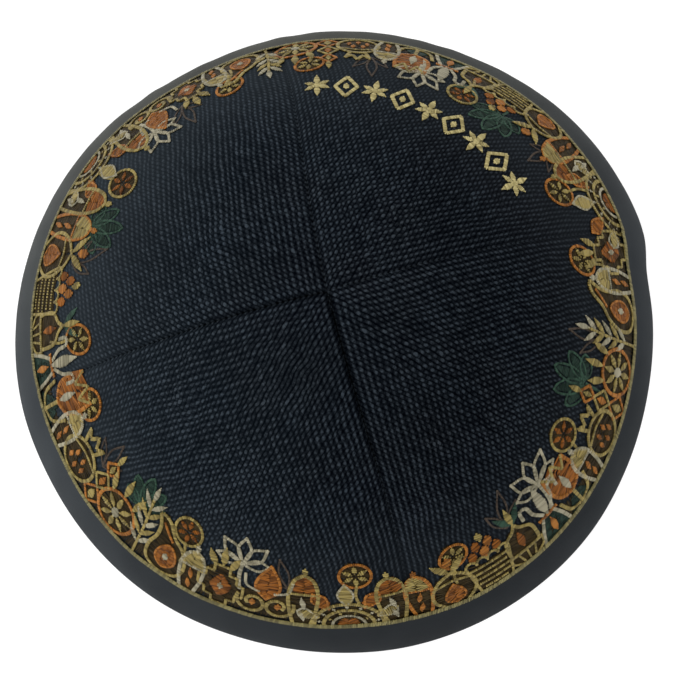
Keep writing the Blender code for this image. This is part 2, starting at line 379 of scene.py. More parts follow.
def plain_side(seam, reach):
    """The inner side of a gore: a square grid bent into the quarter, its corner at the crown.

    Gives its points, faces and thread places, and its edge with its places, as on the skin.
    """
    row, column = np.meshgrid(np.arange(INNER_CELLS + 1), np.arange(INNER_CELLS + 1), indexing="ij")
    ring = np.maximum(row, column)
    across = np.minimum(row, column) / np.maximum(ring, 1)
    share = np.where(row >= column, 0.5 * across, 1 - 0.5 * across)
    radius = reach * ring / INNER_CELLS
    angle, level = gore_place(seam, radius, share)
    lining = sewn_surface(angle, level, -CLOTH_THICKNESS).reshape(-1, 3)
    number = np.arange(len(lining)).reshape(row.shape)
    cells = np.stack([number[:-1, :-1], number[:-1, 1:], number[1:, 1:], number[1:, :-1]], -1)
    turn = (share - 0.5) * 0.5 * np.pi
    threads = np.stack([radius * np.cos(turn), radius * np.sin(turn)], -1) / THREAD_PITCH

    last = INNER_CELLS
    edge = [(a, 0) for a in range(last + 1)] + [(last, b) for b in range(1, last + 1)]
    edge += [(a, last) for a in range(last - 1, -1, -1)] + [(0, b) for b in range(last - 1, 0, -1)]
    edge_at = [a / last for a in range(last + 1)]
    edge_at += [1 + share[place] for place in edge[last + 1:3 * last + 1]]
    edge_at += [3 - b / last for b in range(last - 1, 0, -1)]
    return (lining, cells.reshape(-1, 4), threads.reshape(-1, 2),
            [int(number[place]) for place in edge] + [0], edge_at + [3.0])


def new_piece(name, mesh, *materials):
    """A mesh as a piece of the cap, which has one body."""
    for material in materials:
        mesh.materials.append(material)
    piece = bpy.data.objects.new(name, mesh)
    bpy.context.scene.collection.objects.link(piece)
    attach(piece, "root")
    return piece


# What the plain side gives its material in the place of the skin's values
PLAIN_SIDE = {"pressed": 1.0, "ribbed": 1.0, "slant": 0.0, "painted_seam_shade": 0.0, "painted_light": 0.25}


def make_panel(name, seam, cloth):
    """One gore as a closed wall: the woven skin outside, a plain side towards the head."""
    reach = WALL_LENGTH * PANEL_END
    skin, faces, skin_threads, carried, border, border_at = woven_skin(seam, reach)
    lining, cells, lining_threads, edge, edge_at = plain_side(seam, reach)
    faces += (len(skin) + cells).tolist()
    faces += joined_border(border, border_at, [len(skin) + corner for corner in edge], edge_at)
    mesh = bpy.data.meshes.new(name)
    mesh.from_pydata(np.vstack([skin, lining]), [], faces)
    corner_points = np.zeros(len(mesh.loops), dtype=int)
    mesh.loops.foreach_get("vertex_index", corner_points)
    threads = np.vstack([skin_threads, lining_threads])[corner_points]
    mesh.uv_layers.new(name="threads").uv.foreach_set("vector", threads.ravel())
    for label, values in carried.items():
        values = np.append(values, np.full(len(lining), PLAIN_SIDE[label]))
        mesh.attributes.new(label, "FLOAT", "POINT").data.foreach_set("value", values)
    mesh.shade_smooth()
    return new_piece(name, mesh, cloth)


class Shade:
    """A value that varies from place to place: sums with it become Math nodes in its tree."""

    def __init__(self, socket):
        self.socket = socket

    def __add__(self, other):
        return maths("ADD", self, other)

    def __sub__(self, other):
        return maths("SUBTRACT", self, other)

    def __rsub__(self, other):
        return maths("SUBTRACT", other, self)

    def __mul__(self, other):
        return maths("MULTIPLY", self, other)

    def __truediv__(self, other):
        return maths("DIVIDE", self, other)

    def __pow__(self, other):
        return maths("POWER", self, other)


def add(tree, kind, *links, **settings):
    """Add a node with its settings, and a link or value for some inputs; gives its outputs."""
    node = tree.nodes.new(kind)
    for label, value in settings.items():
        setattr(node, label, value)
    for label, value in links:
        socket = node.inputs[label]
        value = value.socket if isinstance(value, Shade) else value
        if isinstance(value, bpy.types.NodeSocket):
            tree.links.new(value, socket)
        else:
            socket.default_value = (*value, 1.0) if socket.type == "RGBA" else value
    return node.outputs


def maths(operation, *values):
    """The result of a Math node on shades and plain numbers."""
    tree = next(value.socket.id_data for value in values if isinstance(value, Shade))
    return Shade(add(tree, "ShaderNodeMath", *enumerate(values), operation=operation)[0])


def blended(share, low, high):
    """The colour between two others, by a share."""
    return add(share.socket.id_data, "ShaderNodeMix", ("Factor", share), ("A", low), ("B", high),
               data_type="RGBA")["Result"]


def changed(operation, colour, by):
    """A colour added to or multiplied by another, or scaled by a number."""
    return add(colour.id_data, "ShaderNodeVectorMath", (0, colour),
               ("Scale" if operation == "SCALE" else 1, by), operation=operation)[0]


def cloudy(place, scale, detail=2.0):
    """Soft noise between 0 and 1 at a place."""
    return Shade(add(place.id_data, "ShaderNodeTexNoise", ("Vector", place), ("Scale", scale),
                     ("Detail", detail))["Fac"])


def new_cloth(name, roughness, gloss):
    """A cloth or thread material; gives it, its tree, and the place on the object in it."""
    material = bpy.data.materials.new(name)
    material.use_nodes = True
    tree = material.node_tree
    shader = tree.nodes["Principled BSDF"]
    shader.inputs["Roughness"].default_value = roughness
    shader.inputs["Specular IOR Level"].default_value = gloss
    return material, tree, add(tree, "ShaderNodeTexCoord")["Object"]


def finish_cloth(tree, colour, height, distance, strength):
    """Give a material's shader its colour, and its height as bump."""
    shader = tree.nodes["Principled BSDF"]
    bump = add(tree, "ShaderNodeBump", ("Height", height), ("Distance", distance),
               ("Strength", strength))
    tree.links.new(colour, shader.inputs["Base Color"])
    tree.links.new(bump["Normal"], shader.inputs["Normal"])


FLOAT_COLOURS = ((0.0450, 0.0540, 0.0640), (0.0385, 0.0525, 0.0690))
GAP_SHADE_COLOUR = (0.0001, 0.0007, 0.0024)
PRESSED_COLOURS = ((0.0042, 0.0052, 0.0068), (0.0320, 0.0360, 0.0405))
PAINTED_SHEEN_VEIL = ((0.0, 0.0, 0.0), (0.0122, 0.0192, 0.0242))    # painted sheen, added to the cloth by its painted light
THREAD_HALF_WIDTH, RIBBED_CLOSER = 0.51, 0.06              # in threads
FLECK_CHANCE = 0.015


def navy_weave():
    """Near-black navy plain weave: rows of floats with painted light on their tops between gaps
    darkened by painted shade, and no two alike.
    """
    material, tree, body = new_cloth("navy woven cloth", 0.80, 0.012)
    threads = add(tree, "ShaderNodeUVMap", uv_map="threads")["UV"]
    x, y, _ = map(Shade, add(tree, "ShaderNodeSeparateXYZ", (0, threads)))
    pressed, ribbed, slant, painted_seam_shade, painted_light = (
        Shade(add(tree, "ShaderNodeAttribute", attribute_name=label)["Fac"])
        for label in ("pressed", "ribbed", "slant", "painted_seam_shade", "painted_light"))

    def wave(kind, place):
        return maths(kind, place * math.pi)

    def rounded_thread(off):
        share = off / (ribbed * -RIBBED_CLOSER + THREAD_HALF_WIDTH)
        return maths("SQRT", maths("MAXIMUM", 1.0 - share * share, 0.0))

    # The same plain weave as in the mesh, between its points, with one draw for each float
    u = x + wave("COSINE", x) * wave("SINE", y) * (slant * (1 / math.pi))
    v = y - wave("SINE", x) * wave("COSINE", y) * (slant * (1 / math.pi))
    warp, weft = maths("ROUND", v), maths("ROUND", u)
    float_at = add(tree, "ShaderNodeCombineXYZ", (0, maths("ROUND", (u + warp) * 0.5)), (1, warp))[0]
    draw = add(tree, "ShaderNodeTexWhiteNoise", ("Vector", float_at), noise_dimensions="2D")
    tone, fleck, stray = map(Shade, add(tree, "ShaderNodeSeparateColor", (0, draw["Color"])))
    beside_warp = rounded_thread(v - warp - (stray * 0.20 - 0.10))
    free = 1.0 - ribbed
    over = (wave("COSINE", u + warp) * free * 0.36 + ribbed * 0.07 + 0.63) * beside_warp
    under = rounded_thread(u - weft) * (free * 0.28 + 0.30) * (beside_warp * 0.7 + 0.3)
    height = maths("MAXIMUM", over, under)

    # Floats that lean far merge into ridges along that diagonal
    ridge = (wave("COSINE", x - maths("SIGN", slant) * y) * 0.5 + 0.5)**2.0
    merged = maths("ABSOLUTE", slant)**1.5 * MERGING
    # Painted light and shade: the floats' tops are made lighter and the gaps darker in colour, by the
    # weave's height
    lit = height**2.8 * (1.0 - merged) + ridge * merged * 0.72

    # Fine twisted fibres on the threads, coarser grains, soft patches and a few bright flecks
    twisted = add(tree, "ShaderNodeMapping", ("Vector", threads), ("Rotation", (0, 0, 0.5)),
                  ("Scale", (2.0, 6.0, 1.0)))[0]
    fibres = cloudy(twisted, 1.0, 3.0)
    patches = cloudy(body, 45.0, 3.0)
    grains = maths("MAXIMUM", cloudy(threads, 1.9, 1.0) * 2.9 - 0.43, 0.25)
    flecked = maths("GREATER_THAN", fleck, 1 - FLECK_CHANCE) * 0.8 + 1.0
    woven = lit * (tone * 0.85 + 0.57) * (fibres * 1.2 + 0.45) * grains * flecked
    hues = blended(cloudy(body, 90.0, 1.0), *FLOAT_COLOURS)
    open_cloth = blended(woven * (patches * 0.7 + 0.65), GAP_SHADE_COLOUR, hues)
    flat_cloth = blended(fibres * 0.25 + lit * 0.50 + patches * 0.25, *PRESSED_COLOURS)
    colour = blended(pressed * 0.68, open_cloth, flat_cloth)
    # Painted light and shade: the colour is darkened along the seams where the groove is in shade,
    # made paler where the cloth faces the window, and a painted sheen is added there
    colour = changed("SCALE", colour, (1.0 - painted_seam_shade * 0.95) * (painted_light * 0.60 + 0.86))
    colour = changed("ADD", colour, blended(painted_light, *PAINTED_SHEEN_VEIL))
    finish_cloth(tree, colour, (fibres * 0.25 + height) * (1.0 - pressed * 0.6), 0.00030, 0.9)
    return material


panel_cloth = navy_weave()
PANELS = ("panel_back_right", "panel_back_left", "panel_front_left", "panel_front_right")
for seam_index, node_name in enumerate(PANELS):
    gore = make_panel("woven_" + node_name, seam_index, panel_cloth)
    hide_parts(node_name)


# The seam tapes
# Inside, each seam is covered by a narrow strip of the same cloth, which the sewer lays over
# the raw edges: one strip from front to back across the crown, and one on each side.
STRIP_HALF_WIDTH = 0.0034
STRIP_TOP = -CLOTH_THICKNESS - 0.00006      # a hair under the panels
STRIP_THICKNESS = 0.0003
STRIP_ARCH = 0.0001                         # how much thicker its middle is
STRIP_STATIONS = 40
STRIP_STARTS = (0.055, 0.05, 0.055, 0.05)   # each strip's level near the crown
STRIP_END = level_up_from_rim(0.0118)       # under the binding's inner leg
PATCH_LEVEL = 0.052
PATCH_CORNERS = 18
PATCH_STAND_OFFS = (-CLOTH_THICKNESS - 0.0006, -CLOTH_THICKNESS - 0.0010)


def seam_strip(seam, lowest):
    """Points and faces of one thin strip under a seam, from a level near the crown."""
    level = np.linspace(lowest, STRIP_END, STRIP_STATIONS)
    angle = seam_angle(seam, level)
    side = np.degrees(STRIP_HALF_WIDTH / (BALL_RADIUS * np.sin(np.maximum(level, 0.05) * RIM_POLAR)))
    bottom = STRIP_TOP - STRIP_THICKNESS
    section = ((-1, STRIP_TOP), (0, STRIP_TOP), (1, STRIP_TOP),
               (1, bottom), (0, bottom - STRIP_ARCH), (-1, bottom))
    points = np.stack([sewn_surface(angle + turn * side, level, rise) for turn, rise in section], 1)
    grid = np.arange(points.size // 3).reshape(points.shape[:2])
    beside = np.roll(grid, -1, axis=1)
    faces = np.stack([grid[:-1], beside[:-1], beside[1:], grid[1:]], -1).reshape(-1, 4).tolist()
    return points.reshape(-1, 3), faces + [grid[0, ::-1].tolist(), grid[-1].tolist()]


def crown_patch():
    """Points and faces of the small round patch over the strips' ends."""
    angle = np.arange(PATCH_CORNERS) * 360 / PATCH_CORNERS
    points = [sewn_surface(angle, PATCH_LEVEL, rise) for rise in PATCH_STAND_OFFS]
    top, bottom = np.arange(2 * PATCH_CORNERS).reshape(2, PATCH_CORNERS).tolist()
    sides = [[top[a], bottom[a], bottom[a + 1 - PATCH_CORNERS], top[a + 1 - PATCH_CORNERS]]
             for a in range(PATCH_CORNERS)]
    return np.vstack(points), [top, bottom[::-1]] + sides


strip_points, strip_faces = [], []
inside = [seam_strip(seam, lowest) for seam, lowest in enumerate(STRIP_STARTS)] + [crown_patch()]
for points, faces in inside:
    first = sum(map(len, strip_points))
    strip_faces += [[first + corner for corner in face] for face in faces]
    strip_points.append(points)
seam_mesh = bpy.data.meshes.new("inner_seam_tapes")
seam_mesh.from_pydata(np.vstack(strip_points), [], strip_faces)
new_piece("inner_seam_tapes", seam_mesh, panel_cloth)


# The rim binding
# A strip of charcoal cloth cut on the bias, folded over the panels' lower edge and sewn
# through. Its fold is soft and round, and the cap stands on it.
TAPE_THICKNESS = 0.0009
TAPE_INNER_HEIGHT = 0.0100      # inner leg, along the wall
TAPE_ROUND = 0.0006
SLOT_GAP = 0.0004
TAPE_PUFF = 0.00035             # how far the outer leg's middle stands proud
TAPE_STATIONS = 600
EDGE_OUTSIDE = (0.00060, 0.00035)       # how far the sewn edge stands off the cloth: below, on top
EDGE_UNDERSIDE = (0.00008, 0.00004)
TOP_WAVER, INNER_WAVER, PUCKERS = 0.00010, 0.0003, 0.00012

# Height of the outer leg along the wall, which the hand-guided seam lets vary: angle, metres
TAPE_TOP = (
    (-15, 0.0117), (5, 0.0122), (25, 0.0121), (45, 0.0106), (65, 0.0104), (85, 0.0106),
    (105, 0.0111), (125, 0.0112), (145, 0.0110), (165, 0.0114), (185, 0.0123), (205, 0.0120),
    (225, 0.0122), (245, 0.0120), (265, 0.0123), (285, 0.0115), (305, 0.0116), (325, 0.0115),
)


def tape_top(angle):
    """How far up the wall the binding's outer leg reaches."""
    return smooth_round(TAPE_TOP, angle) + TOP_WAVER * soft_waves(angle, 0, 17.0, 5)


def tape_sections(angle):
    """Corner points of the folded strip's section at each angle, before they are rounded."""
    outer_top = level_up_from_rim(tape_top(angle))
    inner_top = level_up_from_rim(TAPE_INNER_HEIGHT + INNER_WAVER * soft_waves(angle, 0, 23.0, 6))
    middle = 0.5 * (1 + outer_top)
    inner_middle = 0.5 * (1 + inner_top)
    slot_foot = level_up_from_rim(PANEL_HEM - SLOT_GAP)
    rounding = 0.5 * TAPE_THICKNESS / WALL_LENGTH
    slot_in = -CLOTH_THICKNESS - SLOT_GAP
    head_side = slot_in - TAPE_THICKNESS
    puckers = PUCKERS * soft_waves(angle, 0, 6.0, 7)

    def over(level, stand_off):
        return sewn_surface(angle, level, stand_off, grooved=False)

    def under(level, stand_off):
        return sewn_surface(angle, level, stand_off)

    outer_foot = over(1.0, TAPE_STAND_OFF)
    inner_foot = under(1.0, head_side)
    inward = inner_foot - outer_foot
    inward[:, 2] = 0
    inward /= np.linalg.norm(inward, axis=1, keepdims=True)
    lift = np.array((0.0, 0.0, 1.0))
    outer_edge, inner_edge = outer_foot * (1, 1, 0), inner_foot * (1, 1, 0)
    puff = TAPE_STAND_OFF + TAPE_PUFF + puckers
    points = [
        outer_edge + inward * 2 * TAPE_ROUND,
        outer_edge + inward * 0.6 * TAPE_ROUND,
        outer_edge + lift * TAPE_ROUND,
        over(1 - 0.25 * (1 - outer_top), puff - 0.1 * TAPE_PUFF),
        over(middle, puff),
        over(outer_top + 0.25 * (1 - outer_top), TAPE_STAND_OFF + 0.3 * puckers),
        over(outer_top + 2 * rounding, EDGE_OUTSIDE[0]),
        over(outer_top - rounding, EDGE_OUTSIDE[1]),
        over(outer_top - rounding, EDGE_UNDERSIDE[1]),
        over(outer_top + 2 * rounding, EDGE_UNDERSIDE[0]),
        over(outer_top + 0.3 * (1 - outer_top), SLOT_GAP),
        over(middle, SLOT_GAP),
        over(slot_foot, SLOT_GAP),
        under(slot_foot, slot_in),
        under(inner_middle, slot_in),
        under(inner_top + 2 * rounding, slot_in),
        under(inner_top - rounding, slot_in),
        under(inner_top - rounding, head_side),
        under(inner_top + 2 * rounding, head_side),
        under(inner_middle, head_side - 0.5 * TAPE_PUFF),
        inner_edge + lift * TAPE_ROUND,
        inner_edge - inward * 0.6 * TAPE_ROUND,
        inner_edge - inward * 2 * TAPE_ROUND,
    ]
    return np.stack(points, axis=1)


def rounded(sections):
    """Each closed section with its corners cut once, which doubles its points."""
    following = np.roll(sections, -1, axis=1)
    pair = np.stack([0.75 * sections + 0.25 * following, 0.25 * sections + 0.75 * following], 2)
    return pair.reshape(len(sections), -1, 3)


TAPE_COLOURS = ((0.0185, 0.0215, 0.0250), (0.0560, 0.0635, 0.0700))
TAPE_WARMTH = ((1.0, 1.0, 1.0), (1.16, 1.04, 0.84))


def charcoal_bias_cloth():
    """Fine charcoal cloth on the bias: soft, a little fuzzy, with painted light that makes it paler
    towards the back and the left, where the window is, and warmer at the back.
    """
    material, tree, body = new_cloth("charcoal binding cloth", 0.75, 0.05)
    strip = add(tree, "ShaderNodeUVMap", uv_map="strip")["UV"]
    bias = add(tree, "ShaderNodeMapping", ("Vector", strip),
               ("Rotation", (0, 0, math.radians(45))))[0]
    warp, weft = (Shade(add(tree, "ShaderNodeTexWave", ("Vector", bias), ("Scale", 0.8),
                            ("Distortion", 0.6), ("Detail Scale", 0.6), bands_direction=axis)["Fac"])
                  for axis in ("X", "Y"))
    weave = warp * weft
    fuzz = cloudy(strip, 2.2, 4.0)
    x, y, _ = map(Shade, add(tree, "ShaderNodeSeparateXYZ", (0, body)))
    colour = blended(weave * 0.25 + cloudy(body, 60.0, 3.0) * 0.6 + fuzz * 0.25, *TAPE_COLOURS)
    # Painted light: paler towards the back and the left, where the window's light falls
    colour = changed("SCALE", colour, y * 6.0 - x * 1.3 + 1.08)
    colour = changed("MULTIPLY", colour, blended(y * 12.0, *TAPE_WARMTH))
    finish_cloth(tree, colour, fuzz * 0.8 + weave, 0.00010, 0.5)
    return material


def make_binding(name):
    """The folded strip as one closed ring; its UV map counts millimetres along and across it."""
    sections = rounded(tape_sections(np.arange(TAPE_STATIONS) * 360 / TAPE_STATIONS))
    sections[..., 2] = np.maximum(sections[..., 2], 0.0)
    around, corners = sections.shape[:2]
    grid = np.arange(around * corners).reshape(around, corners)
    ahead, beside = np.roll(grid, -1, axis=0), np.roll(grid, -1, axis=1)
    faces = np.stack([grid, ahead, np.roll(ahead, -1, axis=1), beside], -1).reshape(-1, 4)
    mesh = bpy.data.meshes.new(name)
    mesh.from_pydata(sections.reshape(-1, 3), [], faces.tolist())
    steps = np.linalg.norm(np.roll(sections, -1, axis=1) - sections, axis=2)
    across = np.hstack([np.zeros((around, 1)), np.cumsum(steps, axis=1)]) * 1000
    along = np.arange(around + 1) * (2 * math.pi * RIM_MEAN * 1000 / around)
    row, column = np.divmod(np.arange(around * corners), corners)
    strip = np.array([(along[row + a], across[row, column + b])
                      for a, b in ((0, 0), (1, 0), (1, 1), (0, 1))]).transpose(2, 0, 1)
    mesh.uv_layers.new(name="strip").uv.foreach_set("vector", strip.ravel())
    mesh.shade_smooth()
    return new_piece(name, mesh, charcoal_bias_cloth())


binding = make_binding("folded_rim_binding")
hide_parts("rim_binding")


# The embroidered border
# Satin-stitched line work in gold, copper and cream rayon with filled shapes, dark grounds and
# green sprays, sewn through the pressed cloth above the binding. It is a run of traditional
# flowers, fruit, baskets and lozenges that stand side by side on a base line.
LINE, FINE, THIN, HAIR = 0.57, 0.43, 0.34, 0.30     # half widths of satin lines, in millimetres
COLUMN = 6.5                                # widest satin column in most filled shapes
ROW_STEP = 0.4                              # between the stitches of a filled shape
INTERLOCK = 0.3                             # how far its columns reach into each other
OVER_EDGE = 0.12                            # how far a single column passes the outline
SHORTEST = 0.3                              # shorter stitches are left out
RESAMPLE = 0.35                             # millimetres between the points of a path
CROWDING = 1.02                             # size of the motifs over the room they are given
BORDER_LEVEL = 0.87                         # where the seams' angles bound the run
RUN_LEVEL = 0.85                            # where its room is measured

# How tall the run stands, over its drawn height: angle, share
BORDER_REACH = (
    (-22, 1.22), (0, 1.22), (31, 1.08), (58, 1.18), (86, 1.08), (108, 1.26), (130, 1.34),
    (152, 1.34), (173, 1.26), (193, 1.12), (217, 1.14), (240, 1.10), (257, 1.00), (275, 0.92),
    (292, 1.14), (310, 1.08), (324, 1.14),
)


def border_foot(angle):
    """Height of the base line up the wall, in millimetres."""
    return 1000 * tape_top(angle) + 0.5


def circle(x, y, radius, start=0.0, end=360.0, tall=1.0):
    """Points along a round or oval arc, angles in degrees."""
    turn = np.radians(np.linspace(start, end, 25))
    return np.stack([x + radius * np.cos(turn), y + radius * tall * np.sin(turn)], -1)


def flow(*knots):
    """A smooth line through a few points."""
    knots = np.array(knots, dtype=float)
    closed = np.allclose(knots[0], knots[-1])
    before = knots[-2] if closed else 2 * knots[0] - knots[1]
    beyond = knots[1] if closed else 2 * knots[-1] - knots[-2]
    knots = np.vstack([before, knots, beyond])
    t = np.linspace(0, 1, 9)[:-1, None]
    parts = []
    for a, b, c, d in zip(knots, knots[1:], knots[2:], knots[3:]):
        parts.append(0.5 * (2 * b + (c - a) * t + (2 * a - 5 * b + 4 * c - d) * t**2
                            + (3 * b - a - 3 * c + d) * t**3))
    return np.vstack(parts + [knots[-2:-1]])


def straight(*corners):
    """A line with sharp corners."""
    return np.array(corners, dtype=float)


def both_sides(points):
    """A half outline from the foot to the tip, closed by its mirror image."""
    return np.vstack([points, points[::-1] * (-1, 1)])


def mirrored(thread, side, half):
    """A line on the left and the same on the right."""
    yield thread, side, half
    yield thread, side * (-1, 1), half


def towards(foot, angle, length):
    """The point at a length from another, in a direction counted from straight up."""
    turn = math.radians(angle)
    return foot[0] + length * math.sin(turn), foot[1] + length * math.cos(turn)


def petal(thread, foot, tip, width):
    """A petal, seed or leaf filled with one satin column."""
    t = np.linspace(0, 1, 13)
    points = np.array(foot) + np.outer(t, np.subtract(tip, foot))
    return thread, points, 0.5 * width * np.sin(np.pi * np.clip(t, 0.04, 0.96)**0.85)**0.8


def petals(thread, hub, angles, low, high, width):
    """Petals round a hub, between two distances from it."""
    for angle in angles:
        yield petal(thread, towards(hub, angle, low), towards(hub, angle, high), width)


def leaf(foot, tip, width):
    """A dark green leaf with a lighter edge."""
    foot, tip = np.array(foot, dtype=float), np.array(tip, dtype=float)
    along = tip - foot
    side = np.array((-along[1], along[0])) / np.hypot(*along) * 0.5 * width
    yield petal("green_ground", foot, tip, 0.9 * width)
    for sign in (1, -1):
        yield "green", flow(foot, *(foot + share * along + sign * out * side for share, out in
                                    ((0.15, 0.62), (0.4, 1.0), (0.68, 0.9), (0.9, 0.5))), tip), THIN


def disc(thread, x, y, radius):
    """A dot filled with one satin column."""
    t = np.linspace(-0.96, 0.96, 9)
    points = np.stack([np.full(9, x), y + radius * t], -1)
    return thread, points, radius * np.sqrt(1 - t**2)


def filled(thread, outline, column=COLUMN):
    """Close rows of stitches that fill an outline, in columns that interlock."""
    outline = np.asarray(outline, dtype=float)
    ahead = np.roll(outline, -1, axis=0)
    low, high = outline[:, 0].min(), outline[:, 0].max()
    count = max(1, math.ceil((high - low) / column))
    rows = np.arange(outline[:, 1].min() + 0.2, outline[:, 1].max() - 0.1, ROW_STEP)
    for k in range(count):
        path, half = [], []
        for index, y in enumerate(rows):
            shift = INTERLOCK * math.sin(0.9 * index + 2 * k)
            left = low + (high - low) * k / count + (shift if k else 0)
            right = low + (high - low) * (k + 1) / count + (shift if k < count - 1 else 0)
            crossing = (outline[:, 1] > y) != (ahead[:, 1] > y)
            share = (y - outline[crossing, 1]) / (ahead[crossing, 1] - outline[crossing, 1])
            spans = np.sort(outline[crossing, 0] + share * (ahead - outline)[crossing, 0])
            start = max(left, spans[0]) if len(spans) > 1 else right
            end = min(right, spans[-1]) if len(spans) > 1 else left
            if end - start > SHORTEST:
                path.append((0.5 * (start + end), y))
                half.append(0.5 * (end - start) + (INTERLOCK if count > 1 else OVER_EDGE))
        if len(path) > 2:
            yield thread, np.array(path), np.array(half)


def edged(ground, edge, outline, half, column=COLUMN):
    """A filled shape with a line round it."""
    yield from filled(ground, outline, column)
    yield edge, outline, half


def edged_pair(ground, edge, side, half, column=COLUMN):
    """A filled shape with a line down each side, drawn by its left side."""
    yield from filled(ground, both_sides(side), column)
    yield from mirrored(edge, side, half)


def shell():
    """A fan of petals over a half-round."""
    hub = (0, 0.2)
    for angle in range(-66, 67, 33):
        thread, edge = ("rust", "copper") if angle % 2 else ("gold", "cream")
        foot, tip = towards(hub, angle, 8.0), towards(hub, angle, 15.6 - abs(angle) / 30)
        yield petal(thread, foot, tip, 4.2)
        for side in (-1, 1):
            yield edge, flow(foot, towards(foot, angle + side * 26, 4.4), tip), THIN
    yield from filled("brown", circle(*hub, 8.4, 0, 180))
    for radius, thread, half in ((8.6, "gold", LINE), (6.3, "gold", LINE), (4.1, "cream", FINE)):
        yield thread, circle(*hub, radius, 0, 180), half
    yield from petals("cream", hub, range(-78, 79, 26), 6.9, 8.0, 0.9)
    yield from petals("gold", hub, range(-60, 61, 40), 4.5, 5.9, 0.9)
    yield from filled("rust", circle(*hub, 2.8, 0, 180), 2.9)


def bud(wide, tall, edge, cap, seeds):
    """A tall closed bud with a coloured cap and two seeds."""
    side = flow((-0.62 * wide, 0.2), (-0.92 * wide, 0.34 * tall), (-wide, 0.64 * tall),
                (-0.66 * wide, 0.89 * tall), (0, tall))
    outline = both_sides(side)
    yield from filled("brown", outline)
    top = outline[outline[:, 1] > 0.66 * tall]
    yield from filled(cap, top, 5.0)
    yield from mirrored(edge, side, LINE)
    yield edge, straight((-0.95 * wide, 0.64 * tall), (0.95 * wide, 0.64 * tall)), FINE
    for y in (0.10, 0.36):
        yield petal(seeds, (0.12 * wide, y * tall), (-0.12 * wide, (y + 0.21) * tall), 1.6)
    yield disc(edge, 0, tall + 1.0, 0.9)


def tall_bud():
    yield from bud(3.5, 17.5, "gold", "rust", "cream")


def copper_bud():
    yield from bud(3.4, 16.5, "copper", "gold", "copper")


def small_bud():
    yield from bud(3.1, 14.0, "cream", "gold", "copper")


def pear():
    """A round fruit with a drop in it and two leaves."""
    side = flow((-3.0, 0.2), (-5.4, 3.4), (-5.5, 7.0), (-3.4, 10.6), (0, 12.6))
    yield from edged_pair("brown", "gold", side, LINE)
    yield "gold", flow((-4.6, 8.6), (0, 9.6), (4.6, 8.6)), FINE
    drop = flow((0, 0.9), (-2.5, 2.6), (-2.1, 5.4), (0, 8.2))
    yield from edged_pair("rust", "copper", drop, THIN, 5.0)
    for side in (-1, 1):
        yield petal("gold", (side * 0.4, 12.8), (side * 4.2, 17.0), 2.4)
    yield disc("copper", 0, 16.4, 1.5)


def tulip():
    """A three-pointed flower cup on a footed stem."""
    cup = flow((0, 6.6), (-3.6, 8.6), (-4.6, 12.6), (-4.0, 17.4))
    crown = straight((-4.0, 17.4), (-1.9, 14.2), (0, 18.4), (1.9, 14.2), (4.0, 17.4))
    yield from filled("green_ground", straight((-4.2, 0.2), (4.2, 0.2), (1.2, 6.2), (-1.2, 6.2)),
                      3.4)
    yield from filled("rust", np.vstack([cup, crown[1:-1], cup[::-1] * (-1, 1)]), 5.0)
    yield from mirrored("copper", cup, LINE)
    yield "gold", crown, FINE
    yield petal("cream", (0, 8.0), (0, 13.6), 2.3)
    yield "gold", straight((0, 0), (0, 6.6)), LINE
    yield from mirrored("gold", flow((0, 0.8), (-3.6, 2.4), (-5.0, 7.2)), LINE)


def pomegranate():
    """A round fruit with a zigzag crown and five seeds."""
    yield from edged("brown", "gold", circle(0, 6.2, 5.6, -90, 270, 1.02), LINE)
    yield "gold", straight((-2.0, 11.8), (-3.2, 15.4), (-1.4, 13.6), (0, 16.4),
                           (1.4, 13.6), (3.2, 15.4), (2.0, 11.8)), LINE
    yield "gold", flow((-4.9, 8.6), (0, 9.7), (4.9, 8.6)), FINE
    for x, y in ((-2.4, 3.6), (0, 2.4), (2.4, 3.6), (-1.3, 6.0), (1.3, 6.0)):
        yield petal("copper", (x, y), (x * 1.05, y + 2.2), 1.5)


def basket():
    """A woven basket heaped with berries."""
    weave = straight((-4.6, 0.2), (4.6, 0.2), (6.0, 9.4), (-6.0, 9.4))
    yield from filled("brown", weave)
    for row in range(5):
        y, half = 1.3 + 1.8 * row, 4.4 + 0.28 * row
        for k in range(-2 - row % 2, 3):
            x = 2.3 * (k + 0.5 * (row % 2))
            if abs(x) < half:
                yield "gold", straight((x - 0.8, y), (x + 0.8, y)), FINE
    yield from mirrored("gold", straight((-4.6, 0), (-6.1, 9.6)), FINE)
    scallops = [circle(x, 9.8, 1.55, 180, 0) for x in (-4.6, -1.5, 1.6, 4.7)]
    yield "gold", np.vstack(scallops), FINE
    for x, y, size, thread in ((-3.4, 12.4, 1.4, "rust"), (0, 12.6, 1.5, "copper"),
                               (3.4, 12.4, 1.4, "rust"), (-1.7, 15.0, 1.4, "copper"),
                               (1.7, 15.0, 1.4, "rust"), (0, 17.4, 1.2, "gold")):
        yield disc(thread, x, y, size)


def acorn():
    """A nut in its cup, under three small leaves."""
    nut = flow((0, 12.8), (-1.2, 11.2), (-3.8, 9.4), (-4.3, 5.6), (-4.0, 4.0))
    yield from edged_pair("brown", "gold", nut, LINE)
    yield petal("rust", (0, 5.4), (0, 10.2), 2.4)
    cup = both_sides(flow((-2.2, 0.2), (-4.6, 1.8), (-4.9, 4.0)))
    yield from edged("brown", "gold", cup, FINE)
    yield "gold", straight((-4.9, 4.1), (4.9, 4.1)), LINE
    for x in (-2.4, 0.0, 2.4):
        yield "gold", straight((x * 0.7, 0.8), (x, 3.4)), 0.36
    for side in (-1, 1):
        yield petal("green", (side * 0.3, 13.2), (side * 3.4, 17.2), 2.2)
    yield petal("gold", (0, 13.2), (0, 18.0), 2.0)


